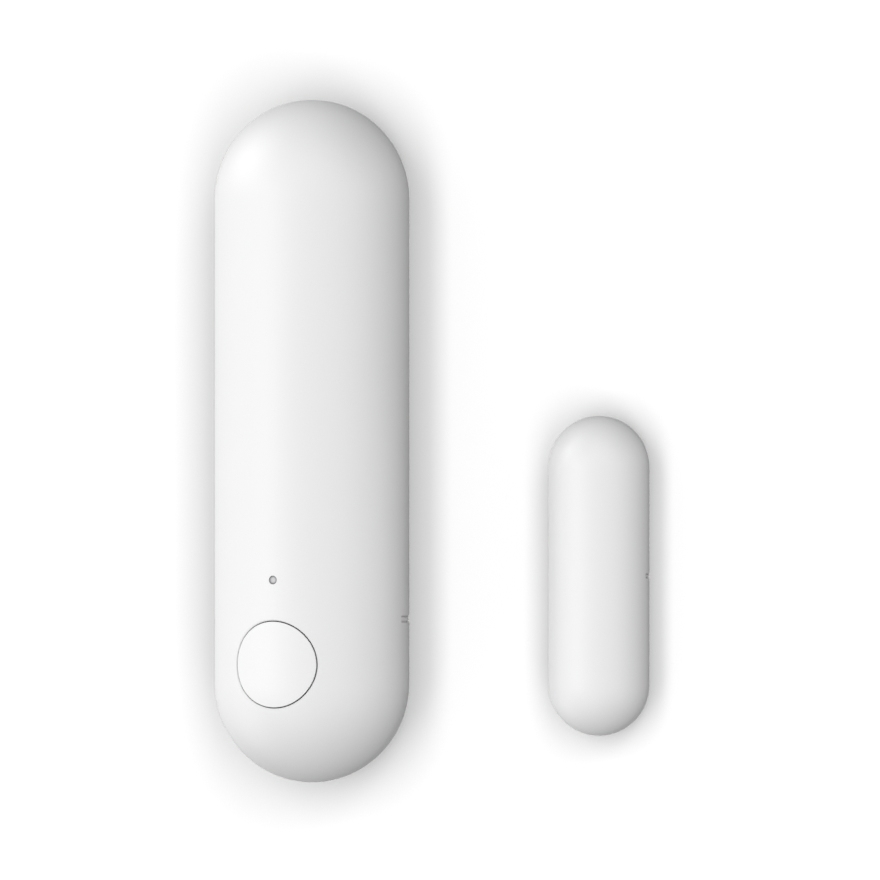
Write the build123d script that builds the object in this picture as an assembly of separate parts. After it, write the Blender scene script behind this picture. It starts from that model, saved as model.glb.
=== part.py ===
from build123d import *

import math
import os

# A wireless door contact sensor: a battery-powered sensor unit and the magnet unit that goes beside it.
#
# Millimetres. The sensor unit lies on its mounting face, which is the plane z = 0, centred on the origin.
# +Y runs along both units, +X points from the sensor unit to the magnet unit, and +Z points out of the door.
# Each casing is a round bar with domed ends, cut flat at the back: a front cover over a shallow rear base.
# A pair of values named _X, _Y or _Z is the low and the high limit along that axis.

# Sensor unit: casing
SENSOR_R = 10.5  # radius of the round section
SENSOR_HALF = 36.84  # half of the overall length
SENSOR_DOME = 10.77  # how far each domed end reaches past the straight stretch
SENSOR_AXIS_Z = 9.0  # height of the section's centre above the mounting face
SENSOR_WALL = 1.35
SENSOR_SEAM_Z = 4.6  # where the cover meets the base
SENSOR_FLOOR_TOP_Z = 1.8
SENSOR_PAD_HALF_W = 4.4
SENSOR_PAD_STRAIGHT = 12.6  # half of the pad's straight stretch

# Magnet unit: casing
MAGNET_R = 5.43
MAGNET_HALF = 17.2
MAGNET_DOME = 5.55
MAGNET_AXIS_Z = 4.9
MAGNET_WALL = 1.1
MAGNET_SEAM_Z = 2.6
MAGNET_FLOOR_TOP_Z = 1.6
MAGNET_PAD_HALF_W = 2.5
MAGNET_PAD_STRAIGHT = 8.6
MAGNET_X = 31.94  # centre of the magnet unit beside the sensor unit
MAGNET_Y = -14.5

# Both casings
SEAM_GAP = 0.12
PAD_T = 0.7  # foam adhesive pad
PAD_PROUD = 0.5  # how far the pad stands out of the back of the base
LIP_GAP = 0.12  # clearance of the base's locating lip inside the cover's mouth
LIP_T = 0.9
LIP_UP = 1.2  # how far the lip reaches into the cover
FIT = 0.12  # clearance of loose inner parts inside the casing
ROOT = 0.2  # how far an added feature sinks into what it grows from
ROUND = 0.5523  # makes a cubic curve follow a quarter of an ellipse
BIG = 200.0  # reaches past everything

# Alignment marks on the units' sides: two engraved lines joined by a shallow bar
SENSOR_MARK_Y = -19.2
SENSOR_MARK_W = 0.74
MAGNET_MARK_W = 0.56
MARK_LINE_W = 0.17
MARK_LINE_DEPTH = 0.26
MARK_FLOOR_DEPTH = 0.1
MARK_REACH = 3.5  # how far in from the side the cutters start
MARK_BELOW_AXIS = 0.1  # the marks stop this far under the section's widest line

# Setup button, on the sensor's front centre line
BUTTON_Y = -24.05
BUTTON_R = 4.62
BUTTON_GAP = 0.11
BUTTON_SKIN = 1.3
BUTTON_WALL = 0.9
BUTTON_STEM_R = 1.3
BUTTON_STEM_TOP_Z = 18.9
BUTTON_FIN_T = 0.7  # crossed fins that stiffen the stem
BUTTON_FIN_HALF = 3.92
BUTTON_FIN_Z = (15.5, 17.3)
CAP_LIP = 0.15  # the cap's edge is a thin lip over a narrower skirt
SKIRT_IN = 0.3
RIM_CHAMFER = 0.11  # round the button's hole
FLANGE_R = 5.55
FLANGE_Z = (14.8, 15.5)
FLANGE_GAP = 0.15
FLANGE_UP_GAP = 0.1
COLLAR_Z = 15.6  # lower end of the collar that guides the button
COLLAR_T = 1.0

# The flange's key on each side, and the two cover ribs that hold it
KEY_W = 1.2
KEY_GAP = 0.1
KEY_RIB_T = 0.7
KEY_RIB_X = (4.9, 6.6)
KEY_NOTCH_X = (4.75, 7.0)
KEY_RIB_LOW_Z = 14.3

# Status light's pipe, on the same centre line
LIGHT_Y = -14.95
LIGHT_HOLE_R = 0.46
LIGHT_BOSS_R = 1.9
LIGHT_BOSS_LOW_Z = 16.0
LIGHT_SHAFT_R = 1.0
LIGHT_SHAFT_TOP_Z = 18.0
PIPE_TIP_R = 0.41
PIPE_SUNK = 0.1  # the tip stays this far under the cover's surface
PIPE_BODY_R = 0.92
PIPE_BODY_Z = (12.95, 17.7)
PIPE_FLANGE_R = 1.7
PIPE_FLANGE_Z = (15.2, 15.95)

# Circuit board
BOARD_Z = (11.2, 12.2)
BOARD_HALF_W = 8.2
BOARD_DOME = 8.4
BOARD_END_GAP = 0.15
BOARD_SLOT_X = (-8.3, -7.4)  # takes the positive contact's tab
BOARD_SLOT_LOW_Y = -4.8

# Screws from the back, through the chassis and the board into bosses of the cover
SCREWS = ((-5.6, -4.3), (5.6, -4.3), (0.0, -31.9))
SCREW_R = 0.95
SCREW_HEAD_R = 1.7
SCREW_HEAD_H = 1.1
SCREW_HEAD_ROUND = 0.5
SCREW_BITE = 2.4  # how far a screw goes into its boss
PILOT_GAP = 0.05  # clearance round a screw in its boss
CHASSIS_HOLE_GAP = 0.1
BOARD_HOLE_GAP = 0.15
CROSS_LEN = 1.9
CROSS_W = 0.45
CROSS_DEPTH = 0.7
BOSS_R = 1.9

# Battery: a 15.6 by 27 mm lithium cell, lying along Y
CELL_R = 7.8
CELL_Z = 9.8
CELL_Y = (1.6, 27.4)
CELL_NUB_Y = 28.4
CELL_NUB_R = 3.2
CELL_ROUND = 0.5
FILM_T = 0.12
FILM_LOW_Y = 2.4
FILM_MOUTH_R = 6.3
GROOVE_Y = (25.4, 26.2)  # rolled groove under the positive end
GROOVE_DEPTH = 0.75
END_WELL = 0.5  # depth of the positive end inside the can's rim
END_WELL_R = 5.4
INSULATOR_T = 0.4
CAP_SHEET = 0.3
CAP_BRIM = 0.45
INSULATOR_GAP = 0.05

# What holds the battery: saddles on the base, and ribs under the cover's crown
SADDLES_Y = (8.5, 21.5)
SADDLE_HALF = 5.2
SADDLE_T = 1.2
SADDLE_TOP_Z = 4.4
SADDLE_GAP = 0.15
CROWN_RIBS_Y = (5.4, 12.0, 18.6)
CROWN_RIB_HALF = 4.6
CROWN_RIB_T = 0.9
CROWN_RIB_LOW_Z = 15.5
CROWN_RIB_GAP = 0.1

# Chassis
CHASSIS_Z = (6.2, 15.5)
BULKHEAD_Y = (-2.2, -1.2)
CELL_POCKET_R = 8.0
CROWN_WINDOW_HALF = 5.4
CROWN_WINDOW_LOW_Z = 12.0
RAIL_LOW_Z = 9.8  # rails round the opening under the circuit board
RAIL_OPENING_HALF = 6.7
RAIL_OPENING_Y = (-29.4, -6.7)
SIDE_WINDOW_X = -7.4
SIDE_WINDOW_Z = (7.9, 10.5)
TAB_NOTCH_X = (-8.3, -7.2)
TAB_NOTCH_LOW_Y = -4.9
TAB_NOTCH_Z = (9.0, 13.0)
PLATE_NOTCH_HALF = 1.7
PLATE_NOTCH_UNDER = 0.1  # clearance under the negative contact's tab

# Battery contacts
STRIP_T = 0.3  # sheet metal
STRIP_Z = (8.2, 10.2)
STRIP_RUN_X = -8.5  # the run beside the cell
STRIP_TAB_X = -7.75
STRIP_BEND_IN = (1.6, 0.2)  # how far the two bends round the cell's shoulder lie in from the run
STRIP_TAB_TOP_Z = 12.9
STRIP_TAB_Y = (-4.4, -2.7)
END_WALL_Y = (CELL_NUB_Y + STRIP_T, 29.8)
END_PLATE_HALF = 3.4
END_PLATE_Z = (6.8, 12.8)
SPRING_PLATE_HALF = 4.2
SPRING_PLATE_LOW_Z = 6.4
SPRING_TAB_HALF = 1.5
SPRING_TAB_LOW_Y = -4.4
SPRING_WIRE_R = 0.28
SPRING_RADII = (2.9, 1.5)
SPRING_TURNS = 3
SPRING_SLACK = 0.03

# Tactile switch under the button
TACT_W = 4.6
TACT_Z = (12.2, 13.6)
TACT_CORNER = 0.4
TACT_WELL_R = 1.55
TACT_WELL_Z = 12.55
TACT_SHEET = 0.15
TACT_FRAME_HOLE_R = 1.12
TACT_FRAME_LEG_HALF = 1.2
TACT_TERMINAL_DY = 1.6
TACT_TERMINAL_W = 0.6
TACT_TERMINAL_LEN = 0.95
TACT_PLUNGER_R = 1.05
TACT_PLUNGER_Z = (13.0, 14.25)
TACT_PLUNGER_FOOT_R = 1.45
TACT_PLUNGER_FOOT_H = 0.5
TACT_DOME_Z = 12.6
TACT_DOME_R = 1.42
TACT_DOME_RISE = 0.36
TACT_DOME_T = 0.06

# Tamper switch, and the post and fins of the base that hold it in
TAMPER_X = 0.0
TAMPER_Y = -8.6
TAMPER_W = 3.6
TAMPER_Z = (7.0, 11.2)
TAMPER_FLOOR = 0.4
TAMPER_ROOF = 0.3
TAMPER_WELL_R = 1.05
TAMPER_HOLE_R = 0.68
TAMPER_STEM_R = 0.6
TAMPER_STEM_Z = (5.62, 8.7)
TAMPER_TIP_ROUND = 0.25
TAMPER_HEAD_R = 0.95
TAMPER_HEAD_Z = (8.6, 9.2)
TAMPER_WIRE_R = 0.09
TAMPER_COIL_R = 0.7
TAMPER_COIL_TURNS = 4
TAMPER_COIL_SLACK = 0.02
TAMPER_POST_Z = 5.6
TAMPER_POST_R = 1.5
TAMPER_FIN_LEN = 5.4
TAMPER_FIN_T = 0.8
TAMPER_FIN_TOP_Z = 3.8

# Reed switch, beside the alignment mark
REED_X = 6.0
REED_Y = SENSOR_MARK_Y
REED_Z = 13.1
REED_R = 0.85
REED_HALF = 4.5
REED_ROUND = 0.5
REED_SOLID_END = 1.5  # solid glass at each end
REED_GLASS_T = 0.22
REED_SEAL_R = 0.25
REED_WIRE_R = 0.22
REED_BLADE_W = 0.8
REED_BLADE_T = 0.18
REED_BLADE_GAP = 0.06
REED_OVERLAP = 0.6
REED_BLADE_FROM = 2.7  # from the glass's middle to where a lead turns flat
REED_LEAD_OUT = 2.2  # from the glass's end to the bend
REED_LEAD_HOLE_R = 0.4
REED_LEAD_PROUD = 0.3  # how far a lead comes out of the back of the board

# Radio, behind the board
CAN_X = (-5.4, 3.0)
CAN_Y = (-22.6, -13.4)
CAN_LOW_Z = 9.3
CAN_SHEET = 0.2
CAN_CORNER = 0.5
CAN_BEND = 0.3
CHIP_X = (-3.7, 1.3)
CHIP_Y = (-20.5, -15.5)
CHIP_LOW_Z = 10.3

# Small parts on the front of the board: X and Y limits and height
LED_HALF_LEN = 0.8
LED_HALF_W = 0.4
LED_BASE_H = 0.35
LENS_HALF_LEN = 0.5
LENS_TOP = 0.6
ANTENNA_X = (-6.6, -5.0)
ANTENNA_Y = (-30.2, -25.2)
ANTENNA_H = 1.1
SENSOR_CHIP_X = (-5.0, -1.0)
SENSOR_CHIP_Y = (-11.5, -7.5)
SENSOR_CHIP_H = 0.9
CRYSTAL_X = (1.2, 4.4)
CRYSTAL_Y = (-11.0, -8.5)
CRYSTAL_H = 0.75
CRYSTAL_CORNER = 0.35
SMALL_EDGE = 0.12
CAPACITOR_H = 0.7
CAPACITOR_LONG = 1.6
CAPACITOR_SHORT = 0.8
CAPACITORS_BY_CHIP = [(-6.3, y) for y in (-8.6, -10.8, -13.0, -15.2)]  # these lie along Y
CAPACITORS_BY_LIGHT = [(x, -13.0) for x in (-3.2, 3.2)]
CAPACITORS_BY_REED = [(4.3, y) for y in (-15.0, -16.6, -18.2)]

# Screw holes in the sensor's base, in line along Y
MOUNT_HOLE_Y = 24.0
MOUNT_HOLE_R = 1.6
MOUNT_HEAD_R = 2.9
MOUNT_HOLE_STRAIGHT = 0.5  # straight bore below the countersink

# Bar magnet, and what holds it
BAR_HALF_W = 2.2
BAR_HALF_LEN = 10.0
BAR_Z = (2.5, 6.9)
BAR_ROUND = 0.25
BAR_GAP = 0.08
BAR_RESTS_DY = (-7.5, 0, 7.5)
BAR_REST_HALF = 2.6
BAR_REST_T = 1.0
BAR_RIBS_DY = (-11.2, -6, 6, 11.2)
BAR_RIB_T = 0.8
BAR_RIB_LOW_Z = 4.2


# Helpers


def quarter_ellipse(radius, straight, dome):
    """A dome's profile, from the straight wall to the tip on the axis. A negative dome points down."""
    tip = straight + dome
    return Bezier(
        (radius, straight),
        (radius, straight + ROUND * dome),
        (ROUND * radius, tip),
        (0, tip),
    )


def pill(radius, half, dome, centre):
    """A round bar along Y with half-ellipse domes at its ends."""
    straight = half - dome
    edge = (
        Line((0, -half), (0, half))
        + quarter_ellipse(radius, straight, dome)
        + Line((radius, -straight), (radius, straight))
        + quarter_ellipse(radius, -straight, -dome)
    )
    return Pos(*centre) * revolve(make_face(edge), Axis.Y)


def sensor_pill(inset=0.0):
    return pill(SENSOR_R - inset, SENSOR_HALF - inset, SENSOR_DOME - inset, (0, 0, SENSOR_AXIS_Z))


def magnet_pill(inset=0.0):
    centre = (MAGNET_X, MAGNET_Y, MAGNET_AXIS_Z)
    return pill(MAGNET_R - inset, MAGNET_HALF - inset, MAGNET_DOME - inset, centre)


def block(x, y, z):
    """A box from its (low, high) limits along X, Y and Z."""
    size = [high - low for low, high in (x, y, z)]
    middle = [(high + low) / 2 for low, high in (x, y, z)]
    return Pos(*middle) * Box(*size)


def around(centre, half):
    """The limits of a stretch that reaches half to each side of its centre."""
    return (centre - half, centre + half)


def mirrored(limits, side):
    """The limits on the +X side, or their mirror image where side is -1."""
    return tuple(sorted(side * limit for limit in limits))


def slab(low, high):
    """Everything between two heights."""
    return block((-BIG, BIG), (-BIG, BIG), (low, high))


def rib(x, y, thickness, z):
    """An upright wall that runs along X, with its middle at y."""
    return block(x, around(y, thickness / 2), z)


def post(x, y, low, high, radius):
    """An upright cylinder."""
    return Pos(x, y, (low + high) / 2) * Cylinder(radius, high - low)


def bar(x, z, low, high, radius):
    """A cylinder along Y."""
    return Pos(x, (low + high) / 2, z) * Rot(90, 0, 0) * Cylinder(radius, high - low)


def outline(half_width, dome, straight, low, high, centre=(0, 0)):
    """An upright slab with straight sides along Y and half-ellipse ends."""
    face = Rectangle(2 * half_width, 2 * straight)
    for end in (-straight, straight):
        face += Pos(0, end) * Ellipse(half_width, dome)
    return Pos(centre[0], centre[1], low) * extrude(face, high - low)


def mouth(radius, dome, wall, drop):
    """Half width and dome reach of a casing's inner wall, at a height drop below its axis."""
    share = math.sqrt(1 - (drop / (radius - wall)) ** 2)
    return (radius - wall) * share, (dome - wall) * share


def lip(radius, half, dome, wall, axis_z, seam_z, centre):
    """The base's upright locating lip, which fits just inside the cover's mouth."""
    width, reach = mouth(radius, dome, wall, axis_z - seam_z)
    top = seam_z + LIP_UP
    low = seam_z - LIP_UP
    straight = half - dome
    ring = outline(width - LIP_GAP, reach - LIP_GAP, straight, low, top, centre)
    inner = outline(width - LIP_GAP - LIP_T, reach - LIP_GAP - LIP_T, straight, low, top, centre)
    return ring - inner


def side_marks(make_pill, x, y, radius, width, low, top):
    """The cutters of an alignment mark on each side: two engraved lines joined by a shallow bar."""
    half = width / 2
    lines = Part()
    bars = Part()
    for side in (-1, 1):
        across = tuple(x + limit for limit in mirrored((radius - MARK_REACH, radius + 1), side))
        bars += block(across, around(y, half), (low, top))
        lines += block(across, (y - half, y - half + MARK_LINE_W), (low, top))
        lines += block(across, (y + half - MARK_LINE_W, y + half), (low, top))
    return (bars - make_pill(MARK_FLOOR_DEPTH)) + (lines - make_pill(MARK_LINE_DEPTH))


def sensor_marks(low, top):
    return side_marks(sensor_pill, 0, SENSOR_MARK_Y, SENSOR_R, SENSOR_MARK_W, low, top)


def magnet_marks(low, top):
    return side_marks(magnet_pill, MAGNET_X, MAGNET_Y, MAGNET_R, MAGNET_MARK_W, low, top)


def coil(wire_r, low, high, low_r, high_r, turns):
    """A coil spring along Z, whose wire stays between the heights low and high."""
    steps = 12 * turns
    points = []
    for step in range(steps + 1):
        share = step / steps
        angle = 2 * math.pi * turns * share
        radius = low_r + (high_r - low_r) * share
        height = low + wire_r + (high - low - 2 * wire_r) * share
        points.append((radius * math.cos(angle), radius * math.sin(angle), height))
    path = Spline(*points)
    start = Plane(path @ 0, z_dir=path % 0)
    return sweep(start * Circle(wire_r), path=path, is_frenet=True)


# Sensor unit: the base that stays on the door frame


def sensor_base():
    hollow = sensor_pill(SENSOR_WALL) & slab(SENSOR_FLOOR_TOP_Z, BIG)
    base = (sensor_pill() & slab(PAD_PROUD, SENSOR_SEAM_Z - SEAM_GAP / 2)) - hollow
    base += lip(
        SENSOR_R, SENSOR_HALF, SENSOR_DOME, SENSOR_WALL, SENSOR_AXIS_Z, SENSOR_SEAM_Z, (0, 0)
    )
    base -= sensor_pad()
    base += battery_saddles()
    base += tamper_post()
    base -= sensor_marks(SENSOR_SEAM_Z - LIP_UP, SENSOR_SEAM_Z)
    for y in (-MOUNT_HOLE_Y, MOUNT_HOLE_Y):
        base -= post(0, y, 0, SENSOR_FLOOR_TOP_Z + 1, MOUNT_HOLE_R)
        depth = SENSOR_FLOOR_TOP_Z - PAD_PROUD - MOUNT_HOLE_STRAIGHT
        sink = Cone(MOUNT_HOLE_R, MOUNT_HEAD_R, depth)
        base -= Pos(0, y, SENSOR_FLOOR_TOP_Z - depth / 2) * sink
    return base


def battery_saddles():
    saddles = Part()
    for y in SADDLES_Y:
        z = (SENSOR_FLOOR_TOP_Z - ROOT, SADDLE_TOP_Z)
        saddles += rib((-SADDLE_HALF, SADDLE_HALF), y, SADDLE_T, z)
    return saddles - bar(0, CELL_Z, *CELL_Y, CELL_R + SADDLE_GAP)


def tamper_post():
    """The post that holds the tamper plunger in, with crossed fins at its foot."""
    low = SENSOR_FLOOR_TOP_Z - ROOT
    stem = post(TAMPER_X, TAMPER_Y, low, TAMPER_POST_Z, TAMPER_POST_R)
    height = TAMPER_FIN_TOP_Z - low
    for turn in (45, 135):
        fin = Box(TAMPER_FIN_LEN, TAMPER_FIN_T, height)
        stem += Pos(TAMPER_X, TAMPER_Y, low + height / 2) * Rot(0, 0, turn) * fin
    return stem


def sensor_pad():
    return outline(SENSOR_PAD_HALF_W, SENSOR_PAD_HALF_W, SENSOR_PAD_STRAIGHT, 0, PAD_T)


# Sensor unit: the cover and what it carries


def sensor_cover():
    shell = sensor_pill() - sensor_pill(SENSOR_WALL)
    shell &= slab(SENSOR_SEAM_Z + SEAM_GAP / 2, BIG)
    shell += cover_features() & sensor_pill(SENSOR_WALL / 2)
    hole_r = BUTTON_R + BUTTON_GAP
    below_flange = FLANGE_Z[0] - 1
    shell -= post(0, BUTTON_Y, below_flange, BIG, hole_r)
    shell = chamfer(rim_edges(shell, hole_r), RIM_CHAMFER)
    clearance = post(0, BUTTON_Y, below_flange, FLANGE_Z[1] + FLANGE_UP_GAP, FLANGE_R + FLANGE_GAP)
    shell -= clearance - key_walls(KEY_RIB_X, KEY_RIB_T, (KEY_RIB_LOW_Z, BIG))
    shell -= post(0, LIGHT_Y, 0, BIG, LIGHT_HOLE_R)
    shell -= post(0, LIGHT_Y, 0, LIGHT_SHAFT_TOP_Z, LIGHT_SHAFT_R)
    for x, y in SCREWS:
        pilot_top = BOARD_Z[1] + SCREW_BITE + ROOT
        shell -= post(x, y, BOARD_Z[0], pilot_top, SCREW_R + PILOT_GAP)
    return shell - sensor_marks(SENSOR_SEAM_Z, SENSOR_AXIS_Z - MARK_BELOW_AXIS)


def cover_features():
    """Everything that hangs from the inside of the cover, before it is trimmed to the casing's wall."""
    features = post(0, BUTTON_Y, COLLAR_Z, BIG, BUTTON_R + BUTTON_GAP + COLLAR_T)
    features += post(0, LIGHT_Y, LIGHT_BOSS_LOW_Z, BIG, LIGHT_BOSS_R)
    for x, y in SCREWS:
        features += post(x, y, BOARD_Z[1], BIG, BOSS_R)
    features += key_walls(KEY_RIB_X, KEY_RIB_T, (KEY_RIB_LOW_Z, BIG))
    for y in CROWN_RIBS_Y:
        crown_rib = rib((-CROWN_RIB_HALF, CROWN_RIB_HALF), y, CROWN_RIB_T, (CROWN_RIB_LOW_Z, BIG))
        features += crown_rib - bar(0, CELL_Z, *CELL_Y, CELL_R + CROWN_RIB_GAP)
    return features


def key_walls(x, thickness, z):
    """Four short walls beside the button, in pairs that hold the flange's keys between them."""
    walls = Part()
    for side in (-1, 1):
        for edge in (-1, 1):
            y = BUTTON_Y + edge * (KEY_W / 2 + KEY_GAP + KEY_RIB_T / 2)
            walls += rib(mirrored(x, side), y, thickness, z)
    return walls


def rim_edges(shell, radius):
    """The edges where an upright hole of that radius at the button meets the outer surface."""
    found = []
    for edge in shell.edges():
        x, y, z = edge @ 0.5
        on_hole = abs(math.hypot(x, y - BUTTON_Y) - radius) < 0.01
        if on_hole and z > SENSOR_AXIS_Z + SENSOR_R - SENSOR_WALL:
            found.append(edge)
    return found


def setup_button():
    below = FLANGE_Z[0] - 1
    inside_r = BUTTON_R - BUTTON_WALL
    cap = sensor_pill() & post(0, BUTTON_Y, FLANGE_Z[0], BIG, BUTTON_R)
    cap -= sensor_pill(BUTTON_SKIN) & post(0, BUTTON_Y, below, BIG, inside_r)
    relief = post(0, BUTTON_Y, FLANGE_Z[1], BIG, BUTTON_R + 1)
    relief -= post(0, BUTTON_Y, 0, BIG, BUTTON_R - SKIRT_IN)
    cap -= relief & sensor_pill(CAP_LIP)
    cap += post(0, BUTTON_Y, *FLANGE_Z, FLANGE_R)
    cap -= post(0, BUTTON_Y, below, FLANGE_Z[1] + ROOT, inside_r)
    # The flange is notched round the cover's key ribs, which leaves its own keys between them
    cap -= key_walls(KEY_NOTCH_X, KEY_RIB_T + 2 * KEY_GAP, (below, FLANGE_Z[1] + 0.02))
    stem = post(0, BUTTON_Y, TACT_PLUNGER_Z[1], BUTTON_STEM_TOP_Z, BUTTON_STEM_R)
    for turn in (0, 90):
        fin = block(around(0, BUTTON_FIN_HALF), around(0, BUTTON_FIN_T / 2), BUTTON_FIN_Z)
        stem += Pos(0, BUTTON_Y, 0) * Rot(0, 0, turn) * fin
    return cap + (stem & sensor_pill(BUTTON_SKIN / 2))


def led_light_pipe():
    tip = post(0, LIGHT_Y, LIGHT_BOSS_LOW_Z, BIG, PIPE_TIP_R) & sensor_pill(PIPE_SUNK)
    body = post(0, LIGHT_Y, *PIPE_BODY_Z, PIPE_BODY_R)
    return tip + body + post(0, LIGHT_Y, *PIPE_FLANGE_Z, PIPE_FLANGE_R)


# Sensor unit: chassis, screws and board


def inner_chassis():
    inside = sensor_pill(SENSOR_WALL + FIT)
    cell_room_y = (BULKHEAD_Y[1], END_WALL_Y[0])
    cradle = inside & block((-BIG, BIG), (BULKHEAD_Y[0], END_WALL_Y[1]), CHASSIS_Z)
    pocket = bar(0, CELL_Z, *cell_room_y, CELL_POCKET_R)
    pocket += block((-CELL_POCKET_R, CELL_POCKET_R), cell_room_y, (0, CELL_Z))
    cradle -= pocket
    # Window over the cell's crown, so that the cover's ribs reach it
    cradle -= block((-CROWN_WINDOW_HALF, CROWN_WINDOW_HALF), cell_room_y, (CROWN_WINDOW_LOW_Z, BIG))
    rails = inside & block((-BIG, BIG), (-BIG, BULKHEAD_Y[1]), (RAIL_LOW_Z, BOARD_Z[0]))
    rails -= block((-RAIL_OPENING_HALF, RAIL_OPENING_HALF), RAIL_OPENING_Y, (0, BOARD_Z[1]))
    chassis = cradle + rails
    for x, y in SCREWS:
        chassis -= post(x, y, 0, BOARD_Z[1], SCREW_R + CHASSIS_HOLE_GAP)
    # Window for the positive contact's strip, and notches for both contacts' tabs
    chassis -= block((-BIG, SIDE_WINDOW_X), (-BIG, END_WALL_Y[0] - STRIP_T), SIDE_WINDOW_Z)
    chassis -= block(TAB_NOTCH_X, (TAB_NOTCH_LOW_Y, BULKHEAD_Y[0]), TAB_NOTCH_Z)
    notch_y = (BULKHEAD_Y[0] - 1, 0)
    chassis -= block((-PLATE_NOTCH_HALF, PLATE_NOTCH_HALF), notch_y, (BOARD_Z[1] - PLATE_NOTCH_UNDER, BIG))
    return chassis


def chassis_screws():
    """Three pan-head screws with crossed recesses."""
    screws = []
    head_z = (RAIL_LOW_Z - SCREW_HEAD_H, RAIL_LOW_Z)
    for x, y in SCREWS:
        screw = post(x, y, *head_z, SCREW_HEAD_R)
        screw = fillet(screw.edges().group_by(Axis.Z)[0], SCREW_HEAD_ROUND)
        screw += post(x, y, head_z[1], BOARD_Z[1] + SCREW_BITE, SCREW_R)
        recess_z = (0, head_z[0] + CROSS_DEPTH)
        screw -= block(around(x, CROSS_LEN / 2), around(y, CROSS_W / 2), recess_z)
        screw -= block(around(x, CROSS_W / 2), around(y, CROSS_LEN / 2), recess_z)
        screws.append(screw)
    return Compound(screws)


def circuit_board():
    board = outline(BOARD_HALF_W, BOARD_DOME, SENSOR_HALF - SENSOR_DOME, *BOARD_Z)
    board &= block((-BIG, BIG), (-BIG, BULKHEAD_Y[0] - BOARD_END_GAP), (0, BIG))
    for x, y in SCREWS:
        board -= post(x, y, 0, BIG, SCREW_R + BOARD_HOLE_GAP)
    board -= block(BOARD_SLOT_X, (BOARD_SLOT_LOW_Y, BULKHEAD_Y[0]), (0, BIG))
    for lead_y in reed_lead_ends():
        board -= post(REED_X, lead_y, 0, BIG, REED_LEAD_HOLE_R)
    return board


def on_board(x, y, height):
    """A plain body that stands on the front of the board."""
    return block(x, y, (BOARD_Z[1], BOARD_Z[1] + height))


def status_led():
    y = around(LIGHT_Y, LED_HALF_W)
    body = on_board((-LED_HALF_LEN, LED_HALF_LEN), y, LED_BASE_H)
    return body + on_board((-LENS_HALF_LEN, LENS_HALF_LEN), y, LENS_TOP)


def radio_antenna():
    """Ceramic chip antenna at the far end of the board, away from the cell."""
    return on_board(ANTENNA_X, ANTENNA_Y, ANTENNA_H)


def sensor_chip():
    """Small package that conditions the switches."""
    body = on_board(SENSOR_CHIP_X, SENSOR_CHIP_Y, SENSOR_CHIP_H)
    return chamfer(body.edges().group_by(Axis.Z)[-1], SMALL_EDGE)


def clock_crystal():
    can = on_board(CRYSTAL_X, CRYSTAL_Y, CRYSTAL_H)
    can = fillet(can.edges().filter_by(Axis.Z), CRYSTAL_CORNER)
    return fillet(can.edges().group_by(Axis.Z)[-1], SMALL_EDGE)


def chip_capacitors():
    """Chip capacitors on the board's front, laid out beside the parts that they serve."""
    long = CAPACITOR_LONG / 2
    short = CAPACITOR_SHORT / 2
    bodies = []
    for x, y in CAPACITORS_BY_CHIP:
        bodies.append(on_board(around(x, short), around(y, long), CAPACITOR_H))
    for x, y in CAPACITORS_BY_LIGHT + CAPACITORS_BY_REED:
        bodies.append(on_board(around(x, long), around(y, short), CAPACITOR_H))
    return Compound(bodies)


def radio_shield_can():
    can = block(CAN_X, CAN_Y, (CAN_LOW_Z, BOARD_Z[0]))
    can = fillet(can.edges().filter_by(Axis.Z), CAN_CORNER)
    can = fillet(can.edges().group_by(Axis.Z)[0], CAN_BEND)
    room_x = (CAN_X[0] + CAN_SHEET, CAN_X[1] - CAN_SHEET)
    room_y = (CAN_Y[0] + CAN_SHEET, CAN_Y[1] - CAN_SHEET)
    return can - block(room_x, room_y, (CAN_LOW_Z + CAN_SHEET, BIG))


def radio_chip():
    return block(CHIP_X, CHIP_Y, (CHIP_LOW_Z, BOARD_Z[0]))


# Tactile switch


def tact_switch_body():
    half = TACT_W / 2
    body = block(around(0, half), around(BUTTON_Y, half), TACT_Z)
    body = chamfer(body.edges().filter_by(Axis.Z), TACT_CORNER)
    return body - post(0, BUTTON_Y, TACT_WELL_Z, BIG, TACT_WELL_R)


def tact_switch_frame():
    """Sheet-metal cover of the tactile switch, with a leg folded down each side."""
    half = TACT_W / 2
    top = TACT_Z[1] + TACT_SHEET
    frame = block(around(0, half), around(BUTTON_Y, half), (TACT_Z[1], top))
    frame -= post(0, BUTTON_Y, 0, BIG, TACT_FRAME_HOLE_R)
    for side in (-1, 1):
        x = mirrored((half, half + TACT_SHEET), side)
        frame += block(x, around(BUTTON_Y, TACT_FRAME_LEG_HALF), (TACT_Z[0] + 2 * TACT_SHEET, top))
    return frame


def tact_switch_terminals():
    """Four flat terminals on the board, two on each side."""
    half = TACT_W / 2
    legs = []
    for side in (-1, 1):
        for dy in (-TACT_TERMINAL_DY, TACT_TERMINAL_DY):
            x = mirrored((half, half + TACT_TERMINAL_LEN), side)
            legs.append(on_board(x, around(BUTTON_Y + dy, TACT_TERMINAL_W / 2), TACT_SHEET))
    return Compound(legs)


def tact_switch_plunger():
    low, top = TACT_PLUNGER_Z
    foot_top = low + TACT_PLUNGER_FOOT_H
    foot = post(0, BUTTON_Y, low, foot_top, TACT_PLUNGER_FOOT_R)
    return foot + post(0, BUTTON_Y, foot_top, top, TACT_PLUNGER_R)


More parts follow.
